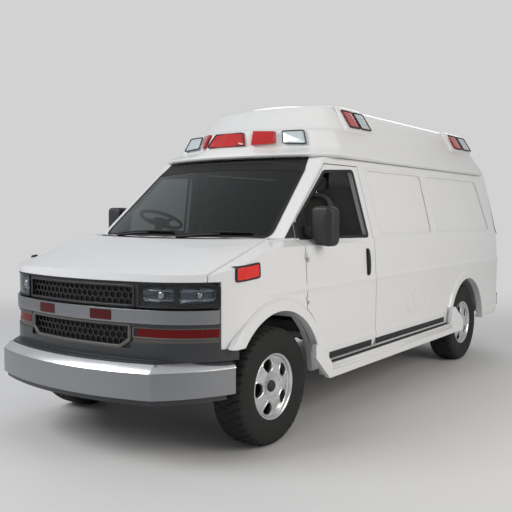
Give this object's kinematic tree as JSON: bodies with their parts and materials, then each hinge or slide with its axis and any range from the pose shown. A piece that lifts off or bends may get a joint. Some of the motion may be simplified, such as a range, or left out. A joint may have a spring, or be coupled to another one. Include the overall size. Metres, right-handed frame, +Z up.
{
  "type": "raised-roof ambulance van",
  "caption": "White raised-roof ambulance van with opening doors and hood, steered front wheels, roof warning lamps and a hollow cab and patient compartment",
  "frame": {"origin": "on the ground, in the middle of the overall length and width", "axes": "+Z up, front towards -Y, +X to the vehicle's left"},
  "size_m": [2.244, 5.5338, 2.442],
  "materials": {
    "cab_frame": "Windshield surround, pillars, cab roof and sills, white",
    "side_panel_left": "Left body side with recessed blank panels and wheel arch, white",
    "side_panel_right": "Right body side with the side door opening, white",
    "rear_frame": "Rear corner posts and header round the rear doors, white",
    "fender_left": "Left front fender with flared arch and liner, white",
    "fender_right": "Right front fender with flared arch and liner, white",
    "hood": "Hood with turned-down front lip, white",
    "roof_cap": "Raised roof shell with lamp band and sloping sides, white",
    "front_door_left": "Left front door with window frame, white",
    "front_door_right": "Right front door with window frame, white",
    "side_door_front": "Front leaf of the right side entry, white",
    "side_door_rear": "Rear leaf of the right side entry, white",
    "rear_door_left": "Left rear door, white",
    "rear_door_right": "Right rear door, white",
    "rear_glass_left": "Window of the left rear door, dark tinted",
    "rear_glass_right": "Window of the right rear door, dark tinted",
    "quarter_trims": "Fixed trims ahead of the front door windows, black",
    "windshield": "Curved windshield, dark tinted",
    "cowl": "Cowl grille under the windshield, black",
    "grille": "Honeycomb grilles and their frame, black",
    "grille_bar": "Bar across the grille, silver",
    "headlamps": "Headlamp units, clear",
    "marker_lamps": "Lower front lamps and fender marker lamps, red",
    "bumper_cover": "Cover over the bumper, lamp frames and lower lip, black",
    "front_bumper": "Front bumper beam, silver",
    "nose_carrier": "Panel that carries lamps, grille and bar, black",
    "roof_lamps_red": "Red warning lamps of the roof, red",
    "roof_lamps_clear": "Clear scene lamps of the roof, clear",
    "tail_lamps": "Tail lamps on the rear posts, dark red",
    "door_fittings_left": "Mirror and handle of the left front door, black",
    "door_fittings_right": "Mirror and handle of the right front door, black",
    "running_boards": "Running boards with raised ends, white",
    "rear_bumper": "Rear step bumper, black",
    "floor_pan": "Floor, firewall and rear wheel housings, grey",
    "bulkhead": "Partition behind the seats with a walk-through, grey",
    "dashboard": "Dashboard and steering column, dark slate",
    "seats": "Driver and passenger seats, dark grey",
    "steering_wheel": "Steering wheel, black",
    "squad_bench": "Squad bench of the patient compartment, grey",
    "cabinets": "Wall cabinets of the patient compartment, white",
    "chassis_frame": "Ladder frame with crossmembers and body mounts, black",
    "front_suspension": "Front crossmember with lower and upper arms, black",
    "knuckle_left": "Left steering knuckle with hub and disc, dark grey",
    "knuckle_right": "Right steering knuckle with hub and disc, dark grey",
    "rear_axle": "Rear axle, leaf springs and propeller shaft, dark grey",
    "engine_block": "Engine and gearbox as plain blocks, dark grey",
    "fuel_tank": "Fuel tank, black",
    "tyre_front_left": "Front left tyre, black",
    "rim_front_left": "Front left wheel, silver",
    "tyre_front_right": "Front right tyre, black",
    "rim_front_right": "Front right wheel, silver",
    "tyre_rear_left": "Rear left tyre, black",
    "rim_rear_left": "Rear left wheel, silver",
    "tyre_rear_right": "Rear right tyre, black",
    "rim_rear_right": "Rear right wheel, silver"
  },
  "bodies": {
    "van": {"cab_frame": "cab_frame", "side_panel_left": "side_panel_left", "side_panel_right": "side_panel_right", "rear_frame": "rear_frame", "fender_left": "fender_left", "fender_right": "fender_right", "roof_cap": "roof_cap", "quarter_trims": "quarter_trims", "windshield": "windshield", "cowl": "cowl", "grille": "grille", "grille_bar": "grille_bar", "headlamps": "headlamps", "marker_lamps": "marker_lamps", "bumper_cover": "bumper_cover", "front_bumper": "front_bumper", "nose_carrier": "nose_carrier", "roof_lamps_red": "roof_lamps_red", "roof_lamps_clear": "roof_lamps_clear", "tail_lamps": "tail_lamps", "running_boards": "running_boards", "rear_bumper": "rear_bumper", "floor_pan": "floor_pan", "bulkhead": "bulkhead", "dashboard": "dashboard", "seats": "seats", "squad_bench": "squad_bench", "cabinets": "cabinets", "chassis_frame": "chassis_frame", "front_suspension": "front_suspension", "rear_axle": "rear_axle", "engine_block": "engine_block", "fuel_tank": "fuel_tank"},
    "hood": {"hood": "hood"},
    "front_door_left": {"front_door_left": "front_door_left", "door_fittings_left": "door_fittings_left"},
    "front_door_right": {"front_door_right": "front_door_right", "door_fittings_right": "door_fittings_right"},
    "side_door_front": {"side_door_front": "side_door_front"},
    "side_door_rear": {"side_door_rear": "side_door_rear"},
    "rear_door_left": {"rear_door_left": "rear_door_left", "rear_glass_left": "rear_glass_left"},
    "rear_door_right": {"rear_door_right": "rear_door_right", "rear_glass_right": "rear_glass_right"},
    "steering_wheel": {"steering_wheel": "steering_wheel"},
    "knuckle_left": {"knuckle_left": "knuckle_left"},
    "knuckle_right": {"knuckle_right": "knuckle_right"},
    "wheel_front_left": {"tyre_front_left": "tyre_front_left", "rim_front_left": "rim_front_left"},
    "wheel_front_right": {"tyre_front_right": "tyre_front_right", "rim_front_right": "rim_front_right"},
    "wheel_rear_left": {"tyre_rear_left": "tyre_rear_left", "rim_rear_left": "rim_rear_left"},
    "wheel_rear_right": {"tyre_rear_right": "tyre_rear_right", "rim_rear_right": "rim_rear_right"}
  },
  "joints": [
    {"name": "hood_hinge", "type": "hinge", "parent": "van", "child": "hood", "pos_m": [0, -1.72, 1.316], "axis": [-1, 0, 0], "range_deg": [0, 55]},
    {"name": "front_door_left_hinge", "type": "hinge", "parent": "van", "child": "front_door_left", "pos_m": [1.012, -1.432, 1], "axis": [0, 0, -1], "range_deg": [0, 65]},
    {"name": "front_door_right_hinge", "type": "hinge", "parent": "van", "child": "front_door_right", "pos_m": [-1.012, -1.432, 1], "axis": [0, 0, 1], "range_deg": [0, 65]},
    {"name": "side_door_front_hinge", "type": "hinge", "parent": "van", "child": "side_door_front", "pos_m": [-1.012, -0.326, 1], "axis": [0, 0, 1], "range_deg": [0, 90]},
    {"name": "side_door_rear_hinge", "type": "hinge", "parent": "van", "child": "side_door_rear", "pos_m": [-1.012, 0.852, 1], "axis": [0, 0, -1], "range_deg": [0, 90]},
    {"name": "rear_door_left_hinge", "type": "hinge", "parent": "van", "child": "rear_door_left", "pos_m": [0.822, 2.658, 1.2], "axis": [0, 0, -1], "range_deg": [0, 165]},
    {"name": "rear_door_right_hinge", "type": "hinge", "parent": "van", "child": "rear_door_right", "pos_m": [-0.822, 2.658, 1.2], "axis": [0, 0, 1], "range_deg": [0, 165]},
    {"name": "steer_left", "type": "hinge", "parent": "van", "child": "knuckle_left", "pos_m": [0.8, -1.782, 0.387], "axis": [0, 0, 1], "range_deg": [-33, 33]},
    {"name": "steer_right", "type": "hinge", "parent": "van", "child": "knuckle_right", "pos_m": [-0.8, -1.782, 0.387], "axis": [0, 0, 1], "range_deg": [-33, 33]},
    {"name": "steering_wheel_turn", "type": "hinge", "parent": "van", "child": "steering_wheel", "pos_m": [-0.47, -1.32, 1.458], "axis": [0, 0.4067, 0.9135], "range_deg": [-462, 462]},
    {"name": "wheel_front_left_spin", "type": "hinge", "parent": "knuckle_left", "child": "wheel_front_left", "pos_m": [0.858, -1.782, 0.387], "axis": [1, 0, 0], "continuous": true},
    {"name": "wheel_front_right_spin", "type": "hinge", "parent": "knuckle_right", "child": "wheel_front_right", "pos_m": [-0.858, -1.782, 0.387], "axis": [1, 0, 0], "continuous": true},
    {"name": "wheel_rear_left_spin", "type": "hinge", "parent": "van", "child": "wheel_rear_left", "pos_m": [0.858, 1.647, 0.387], "axis": [1, 0, 0], "continuous": true},
    {"name": "wheel_rear_right_spin", "type": "hinge", "parent": "van", "child": "wheel_rear_right", "pos_m": [-0.858, 1.647, 0.387], "axis": [1, 0, 0], "continuous": true}
  ],
  "couplings": [
    {"joint": "steer_right", "follows": "steer_left", "ratio": 1},
    {"joint": "steering_wheel_turn", "follows": "steer_left", "ratio": 14}
  ]
}
